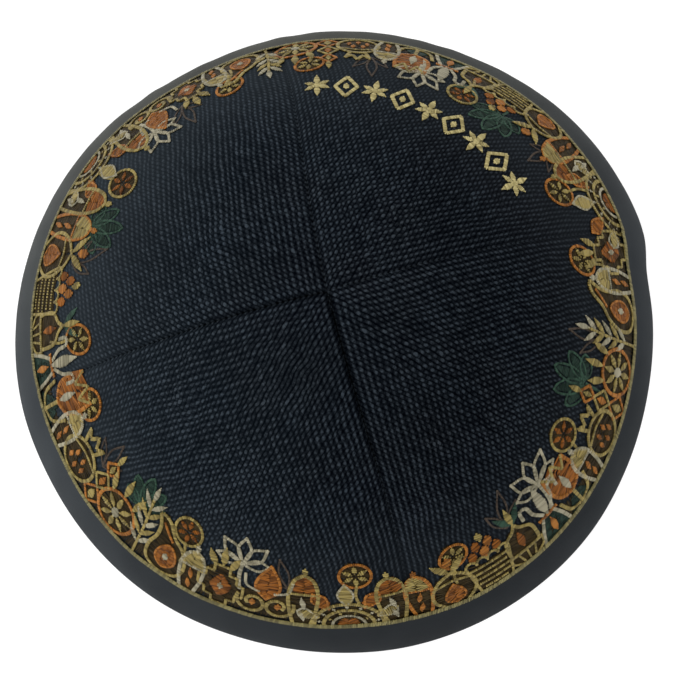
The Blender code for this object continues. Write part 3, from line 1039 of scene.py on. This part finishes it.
def lily():
    """An open flower with curled petals on a footed stem."""
    yield from filled("green_ground", straight((-4.6, 0.2), (4.6, 0.2), (2.3, 7.4), (-2.3, 7.4)),
                      3.4)
    for side in (-1, 1):
        yield "cream", flow((side * 4.6, 0.2), (side * 3.4, 4.2), (side * 1.9, 7.6)), LINE
        yield "cream", flow((side * 1.2, 8.8), (side * 3.2, 11.6), (side * 3.7, 14.4),
                            (side * 5.6, 14.8), (side * 5.9, 12.2)), LINE
    yield "copper", straight((-2.9, 7.9), (2.9, 7.9)), 1.2 * LINE
    yield petal("cream", (0, 8.4), (0, 17.4), 3.2)
    yield petal("copper", (0, 1.4), (0, 6.4), 2.1)


def daisy():
    """A round flower of eight petals, under three leaves."""
    yield from edged("brown", "copper", circle(0, 6.2, 5.7), LINE)
    yield from petals("gold", (0, 6.2), range(0, 360, 45), 1.6, 4.9, 1.9)
    yield disc("cream", 0, 6.2, 1.4)
    for x in (-3.4, 0.0, 3.4):
        yield petal("gold", (x, 12.3 - 0.12 * x * x), (1.4 * x, 17.6 - 0.16 * x * x), 2.2)


def lozenges():
    """Three lozenges, one on another."""
    for y, wide, tall, edge, seed in ((3.6, 3.0, 3.6, "copper", "gold"),
                                      (10.0, 2.6, 3.0, "gold", "copper"),
                                      (15.2, 2.1, 2.4, "copper", "gold")):
        rhomb = straight((0, y - tall), (wide, y), (0, y + tall), (-wide, y), (0, y - tall))
        yield from edged("brown", edge, rhomb, FINE, 3.4)
        yield petal(seed, (0, y - 0.5 * tall), (0, y + 0.5 * tall), 0.8 * wide)
    yield petal("gold", (0, 17.4), (0, 21.0), 1.8)


def paisley():
    """A curled drop with a heart in it."""
    edge = flow((0, 0.6), (4.3, 2.1), (5.3, 6.4), (3.4, 10.6), (0.4, 13.0), (-2.3, 16.2),
                (-5.2, 16.8), (-4.0, 13.8), (-3.9, 10.6), (-4.9, 6.8), (-4.1, 2.4), (0, 0.6))
    yield from edged("brown", "gold", edge, LINE)
    heart = flow((0.2, 2.6), (2.7, 4.6), (2.5, 7.8), (0.2, 10.2), (-2.0, 7.8), (-2.2, 4.6), (0.2, 2.6))
    yield from edged("rust", "copper", heart, THIN, 2.6)
    yield disc("cream", 0.2, 6.2, 1.0)
    yield "copper", flow((0.2, 11.6), (-1.6, 13.2), (-3.4, 15.0)), FINE


def wheat():
    """An ear of grain."""
    yield "gold", flow((0, 0), (0.3, 10.0), (-0.3, 18.0)), FINE
    for k in range(5):
        y = 4.6 + 2.7 * k
        for side in (-1, 1):
            yield petal("gold" if k % 2 else "cream", (0.3 * side, y), (3.0 * side, y + 3.2), 1.7)
    yield petal("cream", (-0.3, 17.6), (-0.3, 21.4), 1.7)


def scroll_heart():
    """A drop between two scrolls."""
    for side in (-1, 1):
        turn = np.linspace(0, 2.3 * np.pi, 36)
        size = 1.3 + 2.7 * (turn / turn[-1])
        spiral = np.stack([side * (3.1 + size * np.cos(turn - 0.5)),
                           5.2 + size * np.sin(turn - 0.5)], -1)
        yield from filled("brown", circle(side * 3.1, 5.2, 3.8), 3.8)
        yield "gold", spiral, LINE
        yield disc("copper", side * 3.1, 5.2, 0.95)
        yield "cream", flow((side * 1.9, 9.4), (side * 5.0, 10.6), (side * 5.6, 13.8)), FINE
    side = flow((0, 7.2), (-2.8, 10.4), (-2.3, 14.0), (0, 17.8))
    yield from edged_pair("rust", "copper", side, FINE, 5.0)


def stepped_lozenge():
    """A stepped frame round a lozenge."""
    steps = ((0, 0.4), (1.9, 0.4), (1.9, 2.6), (3.8, 2.6), (3.8, 4.8), (5.5, 4.8), (5.5, 8.4),
             (3.8, 8.4), (3.8, 10.6), (1.9, 10.6), (1.9, 12.8))
    edge = np.array(steps + tuple((-x, y) for x, y in reversed(steps)))
    yield from edged("brown", "gold", edge, FINE, 3.8)
    rhomb = straight((0, 2.9), (2.9, 6.6), (0, 10.3), (-2.9, 6.6))
    yield from filled("rust", rhomb, 3.0)
    yield disc("cream", 0, 6.6, 0.9)
    for x in (-3.6, 0, 3.6):
        yield petal("gold", (0.5 * x, 13.2 - 0.2 * abs(x)), (x, 18.0 - 0.5 * abs(x)), 2.2)


def spray():
    """Five leaves on a stem."""
    for angle, length in ((-70, 6.4), (-38, 8.4), (-6, 9.6), (26, 9.0), (58, 7.4)):
        tip = towards((0, 15.0), angle, length)
        yield from leaf(towards((0, 15.0), angle, 1.0), tip, 3.4)
    yield "green", flow((1.0, 8.0), (0.4, 11.0), (0, 15.2)), FINE


def marigold(edge="copper", inside="gold"):
    """A small round flower of six petals on a stem."""
    yield "gold", flow((0, 8.0), (0.5, 11.0), (0, 14.0)), FINE
    yield from edged("brown", edge, circle(0, 17.2, 3.6), FINE)
    yield from petals(inside, (0, 17.2), range(0, 360, 60), 0.9, 3.0, 1.5)


def gold_marigold():
    yield from marigold("gold", "rust")


def plume():
    """A flower of five outlined petals on a stem."""
    yield "cream", flow((0, 8.0), (0.4, 12.0), (0, 16.0)), LINE
    for angle, length in ((-82, 6.4), (-44, 7.4), (0, 7.0), (44, 7.4), (82, 6.4)):
        foot, tip = (0, 15.6), towards((0, 15.6), angle, length)
        for turn in (-22, 22):
            yield "cream", flow(foot, towards(foot, angle + turn, 0.6 * length), tip), FINE


def slim_leaves():
    """Three faint outlined leaves."""
    for angle, length in ((-34, 7.0), (8, 9.6), (46, 6.4)):
        foot, tip = (0, 13.0), towards((0, 13.0), angle, length)
        for side in (-1, 1):
            yield "bronze", flow(foot, towards(foot, angle + side * 14, 0.55 * length), tip), HAIR


# The run: motif, the room that it is given on the base line in millimetres
BORDER_RUN = (
    (shell, 16.4), (tall_bud, 6.8), (copper_bud, 6.6), (pear, 10.8), (basket, 11.4),
    (acorn, 9.0), (lily, 9.8), (tulip, 9.6), (small_bud, 6.0), (pomegranate, 10.8),
    (lozenges, 5.8), (daisy, 11.2), (wheat, 5.8), (paisley, 9.8), (small_bud, 6.4),
    (stepped_lozenge, 10.6), (scroll_heart, 12.2), (tall_bud, 6.8),
)
ROOM_LEFT = 4.0                 # millimetres of a gore's room that its run may leave over
RUN_RISE = 0.00012

# Sprays and small flowers stand behind the run: drawing, share across the gore
BEHIND = (
    (marigold, 0.10), (slim_leaves, 0.24), (spray, 0.36), (gold_marigold, 0.50), (plume, 0.64),
    (slim_leaves, 0.76), (marigold, 0.90),
)


def even_steps(points, half):
    """The path at even steps, with its half width at each point."""
    ahead = np.hypot(*np.diff(points, axis=0).T)
    reach = np.append(0, np.cumsum(ahead))
    count = max(2, math.ceil(reach[-1] / RESAMPLE) + 1)
    at = np.linspace(0, reach[-1], count)
    half = np.broadcast_to(half, (len(points),))
    x, y, half = (np.interp(at, reach, values) for values in (points[:, 0], points[:, 1], half))
    return np.stack([x, y], -1), half


def place_on_cloth(points, middle, foot, rise=0.0):
    """Millimetres beside an angle and above a height on the wall, as points on the cloth."""
    level = level_up_from_rim((foot + points[:, 1]) / 1000)
    radius = BALL_RADIUS * np.sin(level * RIM_POLAR)
    return sewn_surface(middle + np.degrees(points[:, 0] / 1000 / radius), level, rise)


def sew(drawing, sewn, middle, foot, size=1.0, mirror=1, lean=0.0, tall=1.0, rise=0.0):
    """Add a drawing's paths to those of its threads, set at an angle round the cap."""
    for thread, points, half in drawing:
        points, half = even_steps(np.asarray(points, dtype=float), half)
        x, y = mirror * size * points[:, 0], tall * size * points[:, 1]
        x = x + math.tan(math.radians(lean)) * y
        sewn.setdefault(thread, []).append(
            (place_on_cloth(np.stack([x, y], -1), middle, foot, rise), half / 1000))


STITCH_INPUTS = {
    "Paths": "Geometry", "Spacing": "Float", "Breadth": "Float", "Thickness": "Float",
    "Rise": "Float", "Slant": "Float", "Dome Centre": "Vector", "Seed": "Int", "Thread": "Material",
}


def stitch_tree():
    """Geometry Nodes: lay a thread across a path at every step, as satin stitch does."""
    tree = bpy.data.node_groups.new("satin stitches", "GeometryNodeTree")
    for label, kind in STITCH_INPUTS.items():
        tree.interface.new_socket(label, in_out="INPUT", socket_type="NodeSocket" + kind)
    tree.interface.new_socket("Stitches", in_out="OUTPUT", socket_type="NodeSocketGeometry")
    given = tree.nodes.new("NodeGroupInput").outputs

    def node(kind, *links, **settings):
        return add(tree, kind, *links, **settings)[0]

    def vector(operation, *values):
        return node("ShaderNodeVectorMath", *enumerate(values), operation=operation)

    def scaled(direction, length):
        return node("ShaderNodeVectorMath", (0, direction), ("Scale", length), operation="SCALE")

    def random(low, high, offset):
        seed = Shade(given["Seed"]) + offset
        return Shade(add(tree, "FunctionNodeRandomValue", (2, low), (3, high), (8, seed),
                         data_type="FLOAT")[1])

    # Points along each path, and how a thread is turned there
    curves = node("GeometryNodeMeshToCurve", ("Mesh", given["Paths"]))
    steps = add(tree, "GeometryNodeCurveToPoints", ("Curve", curves), ("Length", given["Spacing"]),
                mode="LENGTH")
    place = node("GeometryNodeInputPosition")
    outward = vector("NORMALIZE", vector("SUBTRACT", place, given["Dome Centre"]))
    slanted = scaled(steps["Tangent"], random(-0.12, 0.12, 1) + given["Slant"])
    across = vector("ADD", vector("CROSS_PRODUCT", outward, steps["Tangent"]), slanted)
    turned = node("FunctionNodeAxesToRotation", ("Primary Axis", outward),
                  ("Secondary Axis", across), primary_axis="Z", secondary_axis="X")
    half = add(tree, "GeometryNodeInputNamedAttribute", ("Name", "half_width"), data_type="FLOAT")[0]
    size = node("ShaderNodeCombineXYZ", ("X", random(0.92, 1.08, 2) * half),
                ("Y", random(0.50, 0.60, 3) * given["Breadth"]),
                ("Z", random(0.42, 0.58, 4) * given["Thickness"]))
    raised = node("GeometryNodeSetPosition", ("Geometry", steps["Points"]),
                  ("Offset", scaled(outward, given["Rise"])))

    # One thread: a small sphere with fuller ends, laid on its side
    thread = node("GeometryNodeMeshUVSphere", ("Segments", 5), ("Rings", 3), ("Radius", 1.0))
    end_on = Shade(add(tree, "ShaderNodeSeparateXYZ", (0, place))["Z"])
    fuller = node("ShaderNodeCombineXYZ", ("Z", (maths("ABSOLUTE", end_on) * -0.9 + 0.9) * end_on))
    thread = node("GeometryNodeSetPosition", ("Geometry", thread), ("Offset", fuller))
    thread = node("GeometryNodeTransform", ("Geometry", thread), ("Rotation", (0, math.pi / 2, 0)))

    laid = node("GeometryNodeInstanceOnPoints", ("Points", raised), ("Instance", thread),
                ("Rotation", turned), ("Scale", size))
    toned = node("GeometryNodeStoreNamedAttribute", ("Geometry", laid), ("Name", "tone"),
                 ("Value", random(0.0, 1.0, 5)), data_type="FLOAT", domain="INSTANCE")
    smooth = node("GeometryNodeSetShadeSmooth", ("Geometry", toned))
    whole = node("GeometryNodeRealizeInstances", ("Geometry", smooth))
    finished = node("GeometryNodeSetMaterial", ("Geometry", whole), ("Material", given["Thread"]))
    tree.links.new(finished, tree.nodes.new("NodeGroupOutput").inputs[0])
    return tree


def rayon(name, dark, light, gloss):
    """Lustrous embroidery thread; each stitch has its own tone."""
    material, tree, body = new_cloth(name + " thread", 0.42, gloss)
    tone = Shade(add(tree, "ShaderNodeAttribute", attribute_name="tone")["Fac"])
    colour = blended(tone + (cloudy(body, 160.0) * 0.6 - 0.3), dark, light)
    # The stitches that face the window are a little duller, so that it doesn't wash them out
    x, y, _ = map(Shade, add(tree, "ShaderNodeSeparateXYZ", (0, body)))
    facing = maths("MAXIMUM", y * 0.94 - x * 0.34, 0.0)
    colour = changed("SCALE", colour, 1.0 - facing * 2.8)
    finish_cloth(tree, colour, cloudy(body, 5200.0), 0.00004, 0.5)
    return material


DOME_CENTRE = tuple(np.array((0, 0, CROWN_HEIGHT - BALL_RADIUS)) - rim_middle)
satin = stitch_tree()


def embroider(name, paths, material, breadth, thickness, rise, slant, seed):
    """Stitch a set of paths with one thread and keep the result as a plain mesh."""
    points = np.vstack([path for path, _ in paths])
    ends = np.cumsum([len(path) for path, _ in paths])
    ahead = np.arange(len(points) - 1)
    ahead = ahead[~np.isin(ahead + 1, ends)]
    guide_mesh = bpy.data.meshes.new(name + "_paths")
    guide_mesh.from_pydata(points, np.stack([ahead, ahead + 1], -1).tolist(), [])
    widths = guide_mesh.attributes.new("half_width", "FLOAT", "POINT")
    widths.data.foreach_set("value", np.concatenate([half for _, half in paths]))
    guide = bpy.data.objects.new(name + "_paths", guide_mesh)
    bpy.context.scene.collection.objects.link(guide)
    modifier = guide.modifiers.new("stitches", "NODES")
    modifier.node_group = satin
    values = {"Spacing": 0.9 * breadth, "Breadth": breadth, "Thickness": thickness, "Rise": rise,
              "Slant": slant, "Dome Centre": DOME_CENTRE, "Seed": seed, "Thread": material}
    for socket in satin.interface.items_tree:
        if socket.name in values:
            modifier[socket.identifier] = values[socket.name]
    bpy.context.view_layer.update()
    shaped = guide.evaluated_get(bpy.context.evaluated_depsgraph_get())
    mesh = bpy.data.meshes.new_from_object(shaped)
    mesh.name = name
    bpy.data.objects.remove(guide)
    bpy.data.meshes.remove(guide_mesh)
    new_piece(name, mesh)


def border_reach(angle):
    """How tall the run stands at an angle, over its drawn height."""
    return float(smooth_round(BORDER_REACH, np.float64(angle)))


border = {}
loose_hand = np.random.default_rng(7)
following = 0                   # the run goes on from gore to gore
for gore_index in range(len(SEAMS)):
    first, last = (seam_angle(gore_index + side, BORDER_LEVEL) for side in (0, 1))
    room = math.radians(last - first) * BALL_RADIUS * 1000 * math.sin(RUN_LEVEL * RIM_POLAR)
    run = []
    while sum(width for _, width in run) < room - ROOM_LEFT:
        run.append(BORDER_RUN[following % len(BORDER_RUN)])
        following += 1
    fit = room / sum(width for _, width in run)
    along = first
    for motif, share in BEHIND:
        middle = first + (share if gore_index % 2 == 0 else 1 - share) * (last - first)
        sew(motif(), border, middle, border_foot(middle), loose_hand.uniform(0.95, 1.1),
            loose_hand.choice((-1, 1)), loose_hand.uniform(-10, 10), border_reach(middle))
    for motif, width in run:
        slot = (last - first) * width * fit / room
        middle = along + 0.5 * slot
        sew(motif(), border, middle, border_foot(middle),
            fit * CROWDING * loose_hand.uniform(0.96, 1.04), 1 if gore_index % 2 == 0 else -1,
            loose_hand.uniform(-3, 3), border_reach(middle), RUN_RISE)
        along += slot

# The base line runs all round over the binding's edge, with a small step where each gore's
# line meets the next, and a dark ground behind the foot of the run: thread, millimetres over
# the base line, rise over the cloth, half width
BASE_ROWS = (("base", -0.15, 0.00032, 0.00095), ("brown", 3.3, 0.0, 0.00280))
BASE_POINTS = 260
for gore_index in range(len(SEAMS)):
    first, last = (seam_angle(gore_index + side, BORDER_LEVEL) for side in (0, 1))
    angle = np.linspace(first + 0.1, last + 0.1, BASE_POINTS)
    step = 0.10 * soft_waves(angle, 0, 14.0, 40) + 0.25 * np.exp(-((angle - last) / 1.5)**2)
    for thread, height, rise, half in BASE_ROWS:
        level = level_up_from_rim((border_foot(angle) + height + step) / 1000)
        border.setdefault(thread, []).append(
            (sewn_surface(angle, level, rise, thread == "brown"), np.full(len(angle), half)))

# Threads: dark and light colour, breadth, thickness, rise over the cloth, slant, gloss
THREADS = {
    "brown": ((0.014, 0.009, 0.0030), (0.046, 0.031, 0.011), 0.00056, 0.00018, 0.0, 0.15, 0.04),
    "green_ground": ((0.007, 0.015, 0.011), (0.023, 0.046, 0.034), 0.00056, 0.00018, 0.00003,
                     -0.15, 0.04),
    "bronze": ((0.035, 0.026, 0.020), (0.085, 0.064, 0.048), 0.00045, 0.00020, 0.00008, 0.20, 0.08),
    "green": ((0.012, 0.030, 0.020), (0.040, 0.088, 0.058), 0.00048, 0.00024, 0.00010, 0.20, 0.08),
    "rust": ((0.070, 0.022, 0.003), (0.320, 0.110, 0.016), 0.00052, 0.00026, 0.00010, -0.18, 0.08),
    "cream": ((0.170, 0.155, 0.098), (0.430, 0.392, 0.275), 0.00058, 0.00036, 0.00022, 0.18, 0.15),
    "copper": ((0.150, 0.052, 0.007), (0.440, 0.172, 0.028), 0.00056, 0.00034, 0.00020, -0.18, 0.12),
    "base": ((0.115, 0.098, 0.036), (0.290, 0.250, 0.100), 0.00050, 0.00034, 0.00015, 0.18, 0.15),
    "gold": ((0.130, 0.098, 0.027), (0.375, 0.290, 0.090), 0.00058, 0.00036, 0.00022, 0.18, 0.15),
}
for seed, (thread, (dark, light, *laid, gloss)) in enumerate(THREADS.items()):
    embroider("border_" + thread, border[thread], rayon(thread, dark, light, gloss), *laid, seed)


# The ornament arc
# Nine small gold ornaments, satin-stitched in a row on an arc across one gore: six-petalled
# florets and lozenges by turns.
ARC_ORNAMENTS = 9
ARC_FIRST, ARC_LAST = 19.5, 79.5            # angles of the first and the last
ARC_HEIGHT = 46.6                           # millimetres up the wall at the first
ARC_DROP = 4.2                              # how much lower the last one is
ARC_SIZE = 1.22
ARC_LINE = 0.58


def floret():
    """Six petals round a dot."""
    for angle, length in ((0, 3.7), (62, 2.7), (118, 2.7), (180, 3.7), (242, 2.7), (298, 2.7)):
        yield petal("gold", towards((0, 0), angle, 0.5), towards((0, 0), angle, length), 1.8)
    yield disc("gold", 0, 0, 0.9)


def small_lozenge():
    """A lozenge round a dot."""
    yield "gold", straight((0, -3.6), (2.3, 0), (0, 3.6), (-2.3, 0), (0, -3.6)), ARC_LINE
    yield disc("gold", 0, 0, 0.9)


arc_paths = {}
for k in range(ARC_ORNAMENTS):
    along = k / (ARC_ORNAMENTS - 1)
    middle = ARC_FIRST + (ARC_LAST - ARC_FIRST) * along
    sew(floret() if k % 2 == 0 else small_lozenge(), arc_paths, middle,
        ARC_HEIGHT - ARC_DROP * along**2, ARC_SIZE)
arc_gold = rayon("arc gold", (0.275, 0.224, 0.084), (0.600, 0.515, 0.235), 0.2)
embroider("arc_ornaments", arc_paths["gold"], arc_gold, 0.00042, 0.00034, 0.00020, 0.15, 20)


# The floor, the light and the camera
# The cap rests on a plain pale studio table, under one large soft light from the picture's
# upper left and a white room.
FLOOR_HALF = 3.0
PAPER_GREY, PAPER_GLOW = 0.36, 0.80
ROOM_STRENGTH = 0.86
floor_mesh = bpy.data.meshes.new("studio_floor")
floor_mesh.from_pydata([(-FLOOR_HALF, -FLOOR_HALF, 0), (FLOOR_HALF, -FLOOR_HALF, 0),
                        (FLOOR_HALF, FLOOR_HALF, 0), (-FLOOR_HALF, FLOOR_HALF, 0)],
                       [], [(0, 1, 2, 3)])
paper = bpy.data.materials.new("white paper")
paper.use_nodes = True
paper_shader = paper.node_tree.nodes["Principled BSDF"]
paper_shader.inputs["Base Color"].default_value = (PAPER_GREY, PAPER_GREY, PAPER_GREY, 1)
paper_shader.inputs["Roughness"].default_value = 0.9
paper_shader.inputs["Emission Color"].default_value = (1, 1, 1, 1)
paper_shader.inputs["Emission Strength"].default_value = PAPER_GLOW
floor_mesh.materials.append(paper)
floor = bpy.data.objects.new("studio_floor", floor_mesh)
bpy.context.scene.collection.objects.link(floor)

room = bpy.data.worlds.new("white room")
room.use_nodes = True
room.node_tree.nodes["Background"].inputs["Color"].default_value = (1.0, 1.0, 1.0, 1)
room.node_tree.nodes["Background"].inputs["Strength"].default_value = ROOM_STRENGTH
bpy.context.scene.world = room


def soft_light(name, angle, elevation, distance, size, power, colour):
    """A square area light that faces the cap."""
    lamp = bpy.data.lights.new(name, "AREA")
    lamp.size = size
    lamp.energy = power
    lamp.color = colour
    light = bpy.data.objects.new(name, lamp)
    turn, rise = math.radians(angle), math.radians(elevation)
    light.location = (distance * math.cos(turn) * math.cos(rise),
                      distance * math.sin(turn) * math.cos(rise), distance * math.sin(rise))
    light.rotation_euler = (math.pi / 2 - rise, 0, turn + math.pi / 2)
    bpy.context.scene.collection.objects.link(light)


soft_light("window", angle=146, elevation=36, distance=1.2, size=0.9, power=6.0,
           colour=(1.0, 0.99, 0.96))

CAMERA_AZIMUTH = math.radians(3.99)
CAMERA_ELEVATION = math.radians(79.94)
CAMERA_ROLL = math.radians(10.28)
CAMERA_DISTANCE = 0.400
AIM_HEIGHT = 0.020
AIM_RIGHT = 0.00249
AIM_UP = -0.00830
PIXELS_PER_TANGENT = 1593.08
PICTURE_SIDE = 700                          # pixels
forward = np.array((math.sin(CAMERA_AZIMUTH) * math.cos(CAMERA_ELEVATION),
                    math.cos(CAMERA_AZIMUTH) * math.cos(CAMERA_ELEVATION),
                    -math.sin(CAMERA_ELEVATION)))
level_right = np.array((math.cos(CAMERA_AZIMUTH), -math.sin(CAMERA_AZIMUTH), 0.0))
level_up = np.cross(level_right, forward)
aim = np.array((0, 0, AIM_HEIGHT)) + AIM_RIGHT * level_right + AIM_UP * level_up
right_axis = level_right * math.cos(CAMERA_ROLL) - level_up * math.sin(CAMERA_ROLL)
up_axis = level_right * math.sin(CAMERA_ROLL) + level_up * math.cos(CAMERA_ROLL)
lens = bpy.data.cameras.new("photo camera")
lens.sensor_width = 36.0
lens.lens = PIXELS_PER_TANGENT * lens.sensor_width / PICTURE_SIDE
lens.clip_start = 0.01
camera = bpy.data.objects.new("photo camera", lens)
columns = (right_axis, up_axis, -forward, aim - CAMERA_DISTANCE * forward)
camera.matrix_world = Matrix([[column[k] for column in columns] for k in range(3)] + [[0, 0, 0, 1]])
bpy.context.scene.collection.objects.link(camera)
bpy.context.scene.camera = camera
bpy.context.scene.view_settings.view_transform = "Standard"
